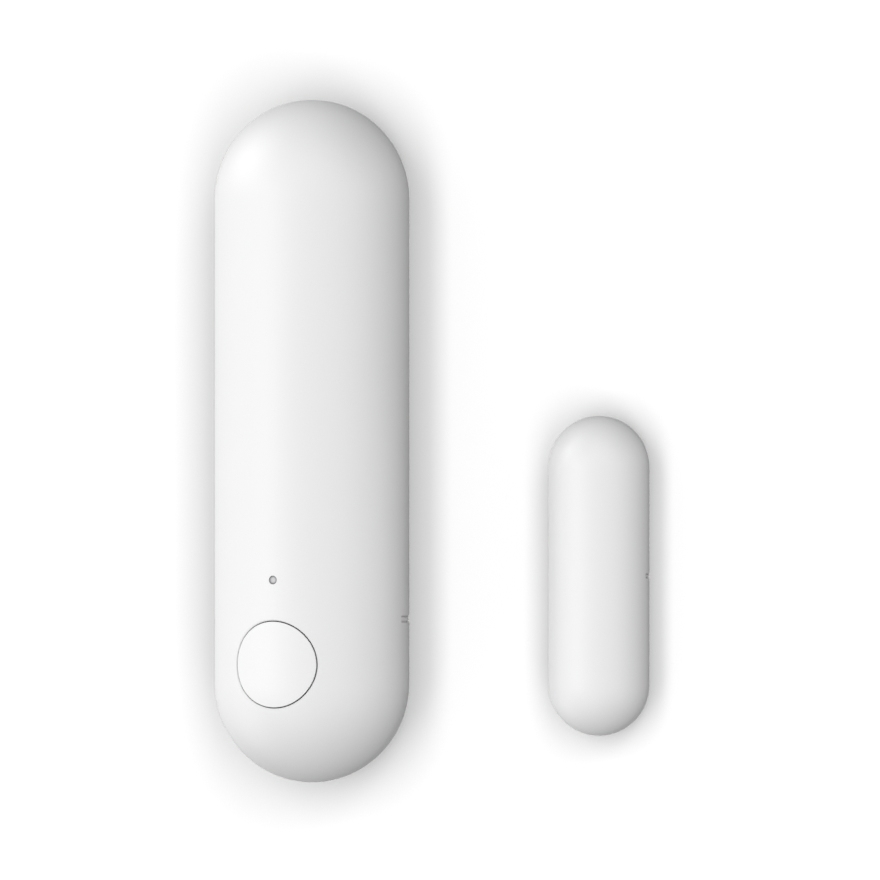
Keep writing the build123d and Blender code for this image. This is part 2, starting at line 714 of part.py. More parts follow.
def tact_switch_dome():
    """Domed spring-steel disc under the plunger: a cap of a thin sphere."""
    ball_r = (TACT_DOME_R**2 + TACT_DOME_RISE**2) / (2 * TACT_DOME_RISE)
    centre = Pos(0, BUTTON_Y, TACT_DOME_Z + TACT_DOME_RISE - ball_r)
    ball = centre * Sphere(ball_r) - centre * Sphere(ball_r - TACT_DOME_T)
    return ball & slab(TACT_DOME_Z, BIG)


# Reed switch


def reed_lead_ends():
    reach = REED_HALF + REED_LEAD_OUT
    return (REED_Y - reach, REED_Y + reach)


def reed_switch_glass():
    glass = bar(REED_X, REED_Z, *around(REED_Y, REED_HALF), REED_R)
    glass = fillet(glass.edges(), REED_ROUND)
    room = around(REED_Y, REED_HALF - REED_SOLID_END)
    glass -= bar(REED_X, REED_Z, *room, REED_R - REED_GLASS_T)
    return glass - bar(REED_X, REED_Z, *around(REED_Y, 2 * REED_HALF), REED_SEAL_R)


def reed_switch_blades():
    """Two overlapping leads. Each is flattened inside the glass and bent down into the board outside it."""
    blades = []
    half_t = REED_BLADE_T / 2
    for side, end in zip((-1, 1), reed_lead_ends()):
        inner = REED_Y + side * REED_BLADE_FROM
        low, high = sorted((inner, end))
        lead = bar(REED_X, REED_Z, low, high, REED_WIRE_R)
        lead += Pos(REED_X, end, REED_Z) * Sphere(REED_WIRE_R)
        lead += post(REED_X, end, BOARD_Z[0] - REED_LEAD_PROUD, REED_Z, REED_WIRE_R)
        y = tuple(sorted((inner + side * ROOT, REED_Y - side * REED_OVERLAP)))
        level = REED_Z - side * (REED_BLADE_GAP / 2 + half_t)
        lead += block(around(REED_X, REED_BLADE_W / 2), y, around(level, half_t))
        blades.append(lead)
    return Compound(blades)


# Battery contacts


def strip_path():
    """The positive contact's strip, seen from the front: across the cell's end and down its side."""
    end_y = END_WALL_Y[0] - STRIP_T / 2
    return Polyline(
        (END_PLATE_HALF, end_y),
        (STRIP_RUN_X + STRIP_BEND_IN[0], end_y),
        (STRIP_RUN_X + STRIP_BEND_IN[1], CELL_Y[1] + STRIP_T),
        (STRIP_RUN_X, CELL_Y[1] - 1.1),
        (STRIP_RUN_X, BULKHEAD_Y[1] + 1.5),
        (STRIP_TAB_X, BULKHEAD_Y[1] - 0.4),
        (STRIP_TAB_X, SCREWS[0][1] - 0.3),
    )


def strip(low, high):
    return Pos(0, 0, low) * extrude(trace(strip_path(), STRIP_T), high - low)


def battery_positive_contact():
    end_y = (END_WALL_Y[0] - STRIP_T, END_WALL_Y[0])
    end_plate = block((-END_PLATE_HALF, END_PLATE_HALF), end_y, END_PLATE_Z)
    tab = strip(STRIP_Z[0], STRIP_TAB_TOP_Z) & block((-BIG, 0), STRIP_TAB_Y, (0, BIG))
    return strip(*STRIP_Z) + end_plate + tab


def battery_negative_contact():
    """Spring plate on the bulkhead, with a tab that runs over the bulkhead to the board."""
    face = (BULKHEAD_Y[1], BULKHEAD_Y[1] + STRIP_T)
    top = BOARD_Z[1] + STRIP_T
    plate = block((-SPRING_PLATE_HALF, SPRING_PLATE_HALF), face, (SPRING_PLATE_LOW_Z, top))
    tab_y = (SPRING_TAB_LOW_Y, face[1])
    return plate + block((-SPRING_TAB_HALF, SPRING_TAB_HALF), tab_y, (BOARD_Z[1], top))


def battery_spring():
    """Conical spring that presses the cell's negative end."""
    low = BULKHEAD_Y[1] + STRIP_T + SPRING_SLACK
    high = CELL_Y[0] - SPRING_SLACK
    spring = coil(SPRING_WIRE_R, 0, high - low, *SPRING_RADII, SPRING_TURNS)
    return Pos(0, low, CELL_Z) * Rot(-90, 0, 0) * spring


# Tamper switch


def tamper_switch_body():
    half = TAMPER_W / 2
    low, top = TAMPER_Z
    body = block(around(TAMPER_X, half), around(TAMPER_Y, half), TAMPER_Z)
    body -= post(TAMPER_X, TAMPER_Y, low + TAMPER_FLOOR, top - TAMPER_ROOF, TAMPER_WELL_R)
    return body - post(TAMPER_X, TAMPER_Y, 0, low + 1, TAMPER_HOLE_R)


def tamper_plunger():
    stem = post(TAMPER_X, TAMPER_Y, *TAMPER_STEM_Z, TAMPER_STEM_R)
    stem = fillet(stem.edges().group_by(Axis.Z)[0], TAMPER_TIP_ROUND)
    return stem + post(TAMPER_X, TAMPER_Y, *TAMPER_HEAD_Z, TAMPER_HEAD_R)


def tamper_spring():
    low = TAMPER_HEAD_Z[1] + TAMPER_COIL_SLACK
    top = TAMPER_Z[1] - TAMPER_ROOF - TAMPER_COIL_SLACK
    spring = coil(TAMPER_WIRE_R, low, top, TAMPER_COIL_R, TAMPER_COIL_R, TAMPER_COIL_TURNS)
    return Pos(TAMPER_X, TAMPER_Y, 0) * spring


# Battery


def battery_can():
    """Steel can with the rolled groove under its positive end."""
    can = bar(0, CELL_Z, *CELL_Y, CELL_R - FILM_T)
    can -= bar(0, CELL_Z, *GROOVE_Y, CELL_R) - bar(0, CELL_Z, *GROOVE_Y, CELL_R - GROOVE_DEPTH)
    can -= bar(0, CELL_Z, CELL_Y[1] - END_WELL, CELL_Y[1] + 1, END_WELL_R)
    return fillet(can.edges().group_by(Axis.Y)[0], CELL_ROUND)


def battery_insulator():
    low = CELL_Y[1] - END_WELL
    ring = bar(0, CELL_Z, low, low + INSULATOR_T, END_WELL_R - INSULATOR_GAP)
    return ring - bar(0, CELL_Z, low, low + INSULATOR_T, CELL_NUB_R + CAP_BRIM + INSULATOR_GAP)


def battery_positive_cap():
    low = CELL_Y[1] - END_WELL
    brim = bar(0, CELL_Z, low, low + CAP_SHEET, CELL_NUB_R + CAP_BRIM)
    nub = bar(0, CELL_Z, low + CAP_SHEET, CELL_NUB_Y, CELL_NUB_R)
    nub = fillet(nub.edges().group_by(Axis.Y)[-1], CAP_SHEET)
    return brim + nub


def battery_sleeve():
    """Plastic film round the can, turned over its positive shoulder."""
    high = CELL_Y[1] + FILM_T
    film = bar(0, CELL_Z, FILM_LOW_Y, high, CELL_R)
    film -= bar(0, CELL_Z, 0, CELL_Y[1], CELL_R - FILM_T)
    return film - bar(0, CELL_Z, 0, high + 1, FILM_MOUTH_R)


# Magnet unit


def magnet_base():
    hollow = magnet_pill(MAGNET_WALL) & slab(MAGNET_FLOOR_TOP_Z, BIG)
    base = (magnet_pill() & slab(PAD_PROUD, MAGNET_SEAM_Z - SEAM_GAP / 2)) - hollow
    ring = lip(
        MAGNET_R,
        MAGNET_HALF,
        MAGNET_DOME,
        MAGNET_WALL,
        MAGNET_AXIS_Z,
        MAGNET_SEAM_Z,
        (MAGNET_X, MAGNET_Y),
    )
    base += ring & magnet_pill() & slab(MAGNET_FLOOR_TOP_Z - ROOT, BIG)
    base -= magnet_pad()
    for dy in BAR_RESTS_DY:
        z = (MAGNET_FLOOR_TOP_Z - ROOT, BAR_Z[0])
        base += rib(around(MAGNET_X, BAR_REST_HALF), MAGNET_Y + dy, BAR_REST_T, z)
    return base - magnet_marks(MAGNET_SEAM_Z - LIP_UP / 2, MAGNET_SEAM_Z)


def magnet_pad():
    centre = (MAGNET_X, MAGNET_Y)
    return outline(MAGNET_PAD_HALF_W, MAGNET_PAD_HALF_W, MAGNET_PAD_STRAIGHT, 0, PAD_T, centre)


def bar_magnet_block(gap=0.0):
    x = around(MAGNET_X, BAR_HALF_W + gap)
    y = around(MAGNET_Y, BAR_HALF_LEN + gap)
    return block(x, y, (BAR_Z[0] - gap, BAR_Z[1] + gap))


def bar_magnet():
    magnet = bar_magnet_block()
    return fillet(magnet.edges(), BAR_ROUND)


def magnet_cover():
    shell = magnet_pill() - magnet_pill(MAGNET_WALL)
    shell &= slab(MAGNET_SEAM_Z + SEAM_GAP / 2, BIG)
    ribs = Part()
    for dy in BAR_RIBS_DY:
        ribs += rib((-BIG, BIG), MAGNET_Y + dy, BAR_RIB_T, (BAR_RIB_LOW_Z, BIG))
    ribs &= magnet_pill(MAGNET_WALL / 2)
    shell += ribs - bar_magnet_block(BAR_GAP)
    return shell - magnet_marks(MAGNET_SEAM_Z, MAGNET_AXIS_Z - MARK_BELOW_AXIS)


NODES = {
    "sensor_adhesive_pad": sensor_pad,
    "sensor_base": sensor_base,
    "sensor_cover": sensor_cover,
    "inner_chassis": inner_chassis,
    "chassis_screws": chassis_screws,
    "circuit_board": circuit_board,
    "status_led": status_led,
    "led_light_pipe": led_light_pipe,
    "setup_button": setup_button,
    "tact_switch_body": tact_switch_body,
    "tact_switch_frame": tact_switch_frame,
    "tact_switch_terminals": tact_switch_terminals,
    "tact_switch_plunger": tact_switch_plunger,
    "tact_switch_dome": tact_switch_dome,
    "reed_switch_glass": reed_switch_glass,
    "reed_switch_blades": reed_switch_blades,
    "radio_shield_can": radio_shield_can,
    "radio_chip": radio_chip,
    "radio_antenna": radio_antenna,
    "sensor_chip": sensor_chip,
    "clock_crystal": clock_crystal,
    "chip_capacitors": chip_capacitors,
    "battery_negative_contact": battery_negative_contact,
    "battery_spring": battery_spring,
    "battery_positive_contact": battery_positive_contact,
    "tamper_switch_body": tamper_switch_body,
    "tamper_plunger": tamper_plunger,
    "tamper_spring": tamper_spring,
    "battery_can": battery_can,
    "battery_positive_cap": battery_positive_cap,
    "battery_insulator": battery_insulator,
    "battery_sleeve": battery_sleeve,
    "magnet_adhesive_pad": magnet_pad,
    "magnet_base": magnet_base,
    "magnet_cover": magnet_cover,
    "bar_magnet": bar_magnet,
}

os.makedirs("parts", exist_ok=True)
for name, make in NODES.items():
    export_step(make(), f"parts/{name}.step")
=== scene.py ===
# Looks, light and camera for the door contact sensor. Metres, in the frame of the CAD part.

import math

import bmesh
import bpy
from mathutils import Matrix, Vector


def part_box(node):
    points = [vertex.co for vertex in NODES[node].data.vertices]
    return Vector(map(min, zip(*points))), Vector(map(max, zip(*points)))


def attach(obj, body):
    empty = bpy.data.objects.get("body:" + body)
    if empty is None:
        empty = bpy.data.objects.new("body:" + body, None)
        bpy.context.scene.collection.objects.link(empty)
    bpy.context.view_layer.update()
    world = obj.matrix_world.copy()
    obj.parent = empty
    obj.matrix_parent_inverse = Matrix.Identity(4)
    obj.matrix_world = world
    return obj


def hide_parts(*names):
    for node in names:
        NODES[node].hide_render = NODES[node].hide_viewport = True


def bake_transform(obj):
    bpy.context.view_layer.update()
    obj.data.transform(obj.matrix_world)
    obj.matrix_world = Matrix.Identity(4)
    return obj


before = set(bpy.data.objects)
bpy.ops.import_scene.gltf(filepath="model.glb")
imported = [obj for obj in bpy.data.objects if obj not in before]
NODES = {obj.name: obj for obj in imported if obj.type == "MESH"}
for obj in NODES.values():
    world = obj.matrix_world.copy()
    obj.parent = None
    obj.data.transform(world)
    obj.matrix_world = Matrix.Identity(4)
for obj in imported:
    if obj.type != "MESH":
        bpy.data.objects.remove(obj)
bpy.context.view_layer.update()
MM = 0.001

# Camera: far off and long, turned towards the side with the alignment mark
CAMERA_TURN = math.radians(23.5)
FRAME_WIDTH = 95.06 * MM
LENS = 1000.0
SENSOR_WIDTH = 36.0
CAMERA_TARGET = Vector((12.67 * MM, 0.12 * MM, 3.49 * MM))
CLIP_SHARES = (0.1, 4.0)  # nearest and farthest, as shares of the camera's distance

# Soft light banks: compass direction from +X, height above the horizon, tightness, strength
LIGHT_BANKS = {
    "left_high": (180, 60, 16, 2.12),
    "left_far_end": (145, 15, 12, 3.93),
    "left_near_end": (215, 15, 12, 1.77),
    "right_low": (0, 20, 4, 1.06),
    "right_high": (0, 50, 4, 0.54),
    "far_right": (60, 40, 8, 1.01),
    "near": (270, 55, 8, 1.06),
    "overhead": (0, 90, 8, 0.46),
    "left_bounce": (180, -35, 4, 0.8),
    "far_bounce": (90, -30, 4, 0.25),
    "near_bounce": (270, -30, 4, 0.2),
}
SKY_SAMPLES = 512
WHITE = (1.0, 1.0, 1.0)

# Floor: its own tone, a faint glow of its own, and strip lights that reach nothing but the floor.
# Each strip: lean from straight overhead towards +X in degrees, share of the floor's brightness
FLOOR_SIZE = 8.0
FLOOR_DROP = 0.02 * MM  # clear of the pads that rest on it
FLOOR_TONE = 0.20
FLOOR_TONE_DRIFT = 0.01
FLOOR_CLOUD = 0.4
FLOOR_GLOW = 0.085
FLOOR_STRIPS = {"right_strip": (31, 0.34), "middle_strip": (14, 0.09), "left_strip": (-3, 0.21)}
STRIP_DISTANCE = 3.0
STRIP_HALF_WIDTH = math.radians(8)
STRIP_HALF_LENGTH = math.radians(29)
STRIP_POWER = 675.0  # for the whole of the floor's brightness

# What the materials share
NOISE_RANGE = (0.3, 0.7)  # most of a noise lies between these
EDGE_RANGE = (0.995, 0.90)  # from flat to sharp: cosine between a face and its rounded edge
BEVEL_SAMPLES = 4
SOFT_EDGE = 0.08 * MM
GRAIN_STRENGTH = 0.35
CLEAR_IOR = 1.49

# Solder round the reed switch's leads
LEAD_R = 0.22 * MM  # upper end of a cone, and half the lead's thickness
SOLDER_FOOT_R = 0.62 * MM
SOLDER_H = 0.4 * MM
SOLDER_SIDES = 24
SOLDER_STEPS = 6

# Colours, in linear light
HOUSING_WHITE = (0.80, 0.80, 0.80)
BASE_WHITE = (0.784, 0.784, 0.784)
BUTTON_WHITE = (0.816, 0.816, 0.816)
LIGHT_MIDDLE = (0.55, 0.55, 0.56)
# Painted shade for the light pipe's rim, next to the wall of its hole
PIPE_RIM_SHADE = (0.26, 0.26, 0.27)
FOAM_WHITE = (0.74, 0.74, 0.72)
CHASSIS_GREY = (0.17, 0.18, 0.19)
SWITCH_BLACK = (0.025, 0.025, 0.028)
CHIP_BLACK = (0.02, 0.02, 0.022)
STEM_WHITE = (0.72, 0.72, 0.68)
CERAMIC_TAN = (0.45, 0.30, 0.18)
CERAMIC_WHITE = (0.70, 0.68, 0.62)
LED_RESIN = (0.88, 0.84, 0.60)
REED_GLASS = (0.80, 0.93, 0.86)
FILM_BLUE = (0.05, 0.10, 0.24)
FILM_BAND = (0.55, 0.57, 0.60)
FILM_WORN = (0.6, 0.62, 0.66)
BOARD_GREEN = (0.02, 0.12, 0.05)
BOARD_COPPER = (0.80, 0.66, 0.38)
BOARD_EDGE = (0.42, 0.45, 0.22)
NICKEL = (0.70, 0.70, 0.69)
NICKEL_WORN = (0.9, 0.9, 0.9)
SPRING_STEEL = (0.58, 0.58, 0.59)
SCREW_ZINC = (0.66, 0.67, 0.68)
REED_NICKEL = (0.72, 0.71, 0.68)
CONTACT_NICKEL = (0.68, 0.68, 0.67)
CONTACT_GOLD = (0.83, 0.62, 0.27)
GOLD_WORN = (0.9, 0.8, 0.5)
CELL_STEEL = (0.66, 0.66, 0.66)
MAGNET_NICKEL = (0.62, 0.62, 0.63)
SOLDER_TIN = (0.62, 0.63, 0.64)


# Node helpers

# Where the Mix node keeps the sockets that it uses for colours
MIX_SHARE = 0
MIX_COLOURS = slice(6, 8)
MIX_RESULT = 2


class Tree:
    """A short way to write a node tree."""

    def __init__(self, node_tree):
        self.node_tree = node_tree
        node_tree.nodes.clear()

    def add(self, kind, **values):
        """A new node. Each value sets the node's own property, or else its input of that name."""
        node = self.node_tree.nodes.new(kind)
        for key, value in values.items():
            if hasattr(node, key):
                setattr(node, key, value)
            else:
                self.feed(node.inputs[key], value)
        return node

    def feed(self, socket, value):
        if isinstance(value, bpy.types.NodeSocket):
            self.node_tree.links.new(value, socket)
        elif isinstance(value, tuple) and len(value) == 3 and socket.type == "RGBA":
            socket.default_value = (*value, 1.0)
        else:
            socket.default_value = value

    def feed_all(self, node, values):
        for socket, value in zip(node.inputs, values):
            self.feed(socket, value)

    def math(self, operation, *values):
        node = self.add("ShaderNodeMath", operation=operation)
        self.feed_all(node, values)
        return node.outputs[0]

    def vector(self, operation, first, second):
        node = self.add("ShaderNodeVectorMath", operation=operation)
        self.feed_all(node, (first, second))
        gives_number = operation in ("DOT_PRODUCT", "DISTANCE")
        return node.outputs["Value" if gives_number else "Vector"]

    def remap(self, value, low, high, to_low, to_high):
        node = self.add("ShaderNodeMapRange")
        self.feed_all(node, (value, low, high, to_low, to_high))
        return node.outputs[0]

    def spread(self, noise, to_low, to_high):
        """A noise stretched over the whole of a range."""
        return self.remap(noise, *NOISE_RANGE, to_low, to_high)

    def times(self, value, factor):
        return self.math("MULTIPLY", value, factor)

    def noise(self, place, size, detail=3.0, roughness=0.5):
        """Noise whose lumps are about size metres across."""
        values = {"Vector": place, "Scale": 1.0 / size, "Detail": detail, "Roughness": roughness}
        return self.add("ShaderNodeTexNoise", **values).outputs["Fac"]

    def mix(self, share, first, second):
        """From the first colour towards the second."""
        node = self.add("ShaderNodeMix", data_type="RGBA")
        self.feed(node.inputs[MIX_SHARE], share)
        for socket, colour in zip(node.inputs[MIX_COLOURS], (first, second)):
            self.feed(socket, colour)
        return node.outputs[MIX_RESULT]

    def tones(self, share, colour, factors):
        """From a darker tone of the colour to a lighter one."""
        return self.mix(share, *(shade(colour, factor) for factor in factors))

    def cover(self, tone, mask, share, colour):
        """The tone, covered up to a share by a colour where the mask is 1."""
        return self.mix(self.times(mask, share), tone, colour)


def shade(colour, factor):
    return tuple(channel * factor for channel in colour)


# Light and stage


def build_world():
    world = bpy.data.worlds.new("studio")
    world.use_nodes = True
    bpy.context.scene.world = world
    tree = Tree(world.node_tree)
    direction = tree.add("ShaderNodeTexCoord").outputs["Generated"]
    total = 0.0
    for compass, height, tightness, strength in LIGHT_BANKS.values():
        turn, rise = math.radians(compass), math.radians(height)
        towards = (math.cos(turn) * math.cos(rise), math.sin(turn) * math.cos(rise), math.sin(rise))
        facing = tree.math("MAXIMUM", tree.vector("DOT_PRODUCT", direction, towards), 0.0)
        bank = tree.times(tree.math("POWER", facing, tightness), strength)
        total = tree.math("ADD", bank, total)
    light = tree.add("ShaderNodeBackground", Strength=total, Color=WHITE)
    seen = tree.add("ShaderNodeBackground", Strength=1.0, Color=WHITE)
    by_camera = tree.add("ShaderNodeLightPath").outputs["Is Camera Ray"]
    both = tree.add("ShaderNodeMixShader")
    tree.feed_all(both, (by_camera, light.outputs[0], seen.outputs[0]))
    tree.add("ShaderNodeOutputWorld", Surface=both.outputs[0])
    world.cycles.sampling_method = "MANUAL"
    world.cycles.sample_map_resolution = SKY_SAMPLES


def build_floor():
    """A plain pale floor with a faint glow. The object's own light comes from the banks alone."""
    bpy.ops.mesh.primitive_plane_add(size=FLOOR_SIZE, location=(0, 0, -FLOOR_DROP))
    floor = bpy.context.object
    floor.name = "floor"
    material = bpy.data.materials.new("floor_white")
    material.use_nodes = True
    tree = Tree(material.node_tree)
    cloud = tree.noise(tree.add("ShaderNodeTexCoord").outputs["Object"], FLOOR_CLOUD)
    tone = tree.remap(cloud, 0.0, 1.0, FLOOR_TONE - FLOOR_TONE_DRIFT, FLOOR_TONE + FLOOR_TONE_DRIFT)
    colour = tree.add("ShaderNodeCombineColor", Red=tone, Green=tone, Blue=tone).outputs[0]
    diffuse = tree.add("ShaderNodeBsdfDiffuse", Color=colour)
    glow = tree.add("ShaderNodeEmission", Strength=FLOOR_GLOW)
    both = tree.add("ShaderNodeAddShader")
    tree.feed_all(both, (diffuse.outputs[0], glow.outputs[0]))
    tree.add("ShaderNodeOutputMaterial", Surface=both.outputs[0])
    floor.data.materials.append(material)
    floor.visible_diffuse = False
    floor.visible_glossy = False
    return floor


def build_floor_strips(floor):
    """Strip lights that lift the floor to white and leave a soft, even halo round the object."""
    only = bpy.data.collections.new("floor_only")
    only.objects.link(floor)
    for name, (lean, share) in FLOOR_STRIPS.items():
        angle = math.radians(lean)
        data = bpy.data.lights.new(name, "AREA")
        data.shape = "RECTANGLE"
        data.size = 2 * STRIP_DISTANCE * math.tan(STRIP_HALF_WIDTH)
        data.size_y = 2 * STRIP_DISTANCE * math.tan(STRIP_HALF_LENGTH)
        data.energy = STRIP_POWER * share
        light = bpy.data.objects.new(name, data)
        light.location = Vector((math.sin(angle), 0.0, math.cos(angle))) * STRIP_DISTANCE
        light.rotation_euler = (0.0, angle, 0.0)
        bpy.context.scene.collection.objects.link(light)
        light.light_linking.receiver_collection = only


def build_camera():
    data = bpy.data.cameras.new("camera")
    data.lens = LENS
    data.sensor_width = SENSOR_WIDTH
    camera = bpy.data.objects.new("camera", data)
    bpy.context.scene.collection.objects.link(camera)
    back = Vector((math.sin(CAMERA_TURN), 0.0, math.cos(CAMERA_TURN)))
    distance = FRAME_WIDTH * LENS / SENSOR_WIDTH
    camera.location = CAMERA_TARGET + back * distance
    camera.rotation_euler = (0.0, CAMERA_TURN, 0.0)
    data.clip_start, data.clip_end = (share * distance for share in CLIP_SHARES)
    bpy.context.scene.camera = camera


# Materials


def new_material(name):
    material = bpy.data.materials.new(name)
    material.use_nodes = True
    tree = Tree(material.node_tree)
    shader = tree.add("ShaderNodeBsdfPrincipled")
    tree.add("ShaderNodeOutputMaterial", Surface=shader.outputs[0])
    place = tree.add("ShaderNodeTexCoord").outputs["Object"]
    return material, tree, shader, place


def edge_mask(tree, radius):
    """1 on edges sharper than the radius, 0 on flat ground."""
    rounded = tree.add("ShaderNodeBevel", samples=BEVEL_SAMPLES, Radius=radius).outputs[0]
    plain = tree.add("ShaderNodeNewGeometry").outputs["Normal"]
    return tree.remap(tree.vector("DOT_PRODUCT", rounded, plain), *EDGE_RANGE, 0.0, 1.0)


def finish_surface(tree, shader, tone, rough, height, depth, strength=GRAIN_STRENGTH):
    """Colour, roughness, and a fine bump over edges that are softened by a small radius."""
    soft = tree.add("ShaderNodeBevel", samples=BEVEL_SAMPLES, Radius=SOFT_EDGE).outputs[0]
    bump = tree.add("ShaderNodeBump", Strength=strength, Distance=depth, Height=height, Normal=soft)
    tree.feed(shader.inputs["Base Color"], tone)
    tree.feed(shader.inputs["Roughness"], rough)
    tree.feed(shader.inputs["Normal"], bump.outputs[0])


# Moulded plastic
PLASTIC_CLOUD = 12 * MM
PLASTIC_TONES = (0.985, 1.01)
PLASTIC_ROUGH_DRIFT = 0.03
PLASTIC_GRAIN = 0.12 * MM
CHIP_GRAIN = 0.06 * MM
CERAMIC_GRAIN = 0.05 * MM
SPECKLE_PER_GRAIN = 3
PLASTIC_GRAIN_DEPTH = 0.001 * MM
PLASTIC_EDGE = 0.12 * MM
PLASTIC_WORN_TONE = 1.08
PLASTIC_WORN_SHARE = 0.16
PLASTIC_WORN_SMOOTHER = 0.04


def moulded(name, colour, rough, grain=PLASTIC_GRAIN):
    """A fine spark-eroded grain, faint flow marks, and edges rubbed smoother and paler."""
    material, tree, shader, place = new_material(name)
    cloud = tree.noise(place, PLASTIC_CLOUD, detail=4.0)
    speckle = tree.noise(place, grain * SPECKLE_PER_GRAIN, detail=2.0)
    edge = edge_mask(tree, PLASTIC_EDGE)
    tone = tree.tones(cloud, colour, PLASTIC_TONES)
    tone = tree.cover(tone, edge, PLASTIC_WORN_SHARE, shade(colour, PLASTIC_WORN_TONE))
    dull = tree.spread(cloud, rough - PLASTIC_ROUGH_DRIFT, rough + PLASTIC_ROUGH_DRIFT)
    dull = tree.math("ADD", dull, tree.times(speckle, PLASTIC_ROUGH_DRIFT))
    dull = tree.math("SUBTRACT", dull, tree.times(edge, PLASTIC_WORN_SMOOTHER))
    finish_surface(tree, shader, tone, dull, tree.noise(place, grain, detail=2.0), PLASTIC_GRAIN_DEPTH)
    return material


# Foam of the sticky pads
FOAM_CELL = 0.35 * MM
# Painted shade in the pits: darker deep in a cell, paler on the walls between cells
FOAM_PIT_SHADE_TONES = (0.78, 1.04)
FOAM_ROUGH = (0.98, 0.8)  # deep in a cell, and on the walls between cells
FOAM_PIT_DEPTH = 0.06 * MM
FOAM_PIT_STRENGTH = 0.6
FOAM_EDGE = 0.15 * MM
FOAM_SKIN_TONE = 1.12
FOAM_SKIN_SHARE = 0.5


def foam(name, colour):
    """Closed-cell foam: small pits with painted shade in them, no gloss, and a paler skin on its cut
    edge.
    """
    material, tree, shader, place = new_material(name)
    cell = tree.add("ShaderNodeTexVoronoi", Vector=place, Scale=1 / FOAM_CELL).outputs["Distance"]
    # Painted shade, darker deep in each pit
    tone = tree.tones(cell, colour, FOAM_PIT_SHADE_TONES)
    tone = tree.cover(tone, edge_mask(tree, FOAM_EDGE), FOAM_SKIN_SHARE, shade(colour, FOAM_SKIN_TONE))
    rough = tree.remap(cell, 0.0, 1.0, *FOAM_ROUGH)
    finish_surface(tree, shader, tone, rough, cell, FOAM_PIT_DEPTH, FOAM_PIT_STRENGTH)
    return material


# Metal. The brush vectors stretch the marks along one axis
METAL_PATCH = 3 * MM
METAL_TONES = (0.86, 1.04)
METAL_ROUGH_DRIFT = (-0.05, 0.07)
METAL_GRAIN = 0.2 * MM
FINE_METAL_GRAIN = 0.1 * MM
WIRE_GRAIN = 0.08 * MM
MAGNET_GRAIN = 0.4 * MM
MARK_DEPTH = 0.004 * MM
MARK_ROUGH = 0.12
METAL_EDGE = 0.1 * MM
METAL_WORN_SHARE = 0.6
METAL_WORN_SMOOTHER = 0.08
NO_BRUSH = (1.0, 1.0, 1.0)
BRUSHED_ALONG_Y = (1.0, 0.08, 1.0)
DRAWN_ALONG_Y = (1.0, 0.1, 1.0)


def metal(name, colour, rough, brush=NO_BRUSH, grain=METAL_GRAIN, worn=NICKEL_WORN):
    """Plated or drawn metal: brush marks along one axis, dull patches, and edges rubbed bright."""
    material, tree, shader, place = new_material(name)
    shader.inputs["Metallic"].default_value = 1.0
    marks = tree.noise(tree.vector("MULTIPLY", place, brush), grain, detail=4.0, roughness=0.6)
    patch = tree.noise(place, METAL_PATCH)
    edge = edge_mask(tree, METAL_EDGE)
    tone = tree.cover(tree.tones(patch, colour, METAL_TONES), edge, METAL_WORN_SHARE, worn)
    dull = tree.spread(patch, *(rough + drift for drift in METAL_ROUGH_DRIFT))
    dull = tree.math("ADD", dull, tree.times(marks, MARK_ROUGH))
    dull = tree.math("SUBTRACT", dull, tree.times(edge, METAL_WORN_SMOOTHER))
    finish_surface(tree, shader, tone, dull, marks, MARK_DEPTH)
    return material


# Glass and the light pipe
STREAK = 1.2 * MM
GLASS_TONES = (0.94, 1.02)
GLASS_ROUGH = (0.02, 0.07)
GLASS_EDGE = 0.08 * MM
GLASS_EDGE_ROUGHER = 0.15
RIPPLE_DEPTH = 0.002 * MM
LIGHT_TIP_R = 0.41 * MM
# Where the painted shade at the pipe's rim fades in, from the middle outwards
PIPE_RIM_SHADE_FADE = (0.45 * LIGHT_TIP_R, 0.9 * LIGHT_TIP_R)
FROST = 0.1 * MM
FROST_TONE = 1.15
FROST_SHARE = 0.2
FROST_ROUGH = (0.28, 0.4)
ACROSS_ONLY = (1.0, 1.0, 0.0)


def reed_glass():
    """Clear greenish glass with faint streaks and a duller edge."""
    material, tree, shader, place = new_material("reed_glass")
    shader.inputs["IOR"].default_value = CLEAR_IOR
    shader.inputs["Transmission Weight"].default_value = 1.0
    streak = tree.noise(place, STREAK)
    tone = tree.tones(streak, REED_GLASS, GLASS_TONES)
    duller = tree.times(edge_mask(tree, GLASS_EDGE), GLASS_EDGE_ROUGHER)
    rough = tree.math("ADD", tree.spread(streak, *GLASS_ROUGH), duller)
    finish_surface(tree, shader, tone, rough, streak, RIPPLE_DEPTH)
    return material


def light_guide():
    """The light pipe's frosted tip: pale in the middle, with painted shade that greys it towards the
    wall of its hole.
    """
    material, tree, shader, place = new_material("light_pipe")
    shader.inputs["IOR"].default_value = CLEAR_IOR
    low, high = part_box("led_light_pipe")
    axis = ((low.x + high.x) / 2, (low.y + high.y) / 2, 0.0)
    away = tree.vector("DISTANCE", tree.vector("MULTIPLY", place, ACROSS_ONLY), axis)
    frost = tree.noise(place, FROST)
    # Painted shade: the tip greys from its middle towards its rim
    tone = tree.mix(tree.remap(away, *PIPE_RIM_SHADE_FADE, 0.0, 1.0), LIGHT_MIDDLE, PIPE_RIM_SHADE)
    tone = tree.cover(tone, frost, FROST_SHARE, shade(LIGHT_MIDDLE, FROST_TONE))
    finish_surface(tree, shader, tone, tree.spread(frost, *FROST_ROUGH), frost, RIPPLE_DEPTH)
    return material


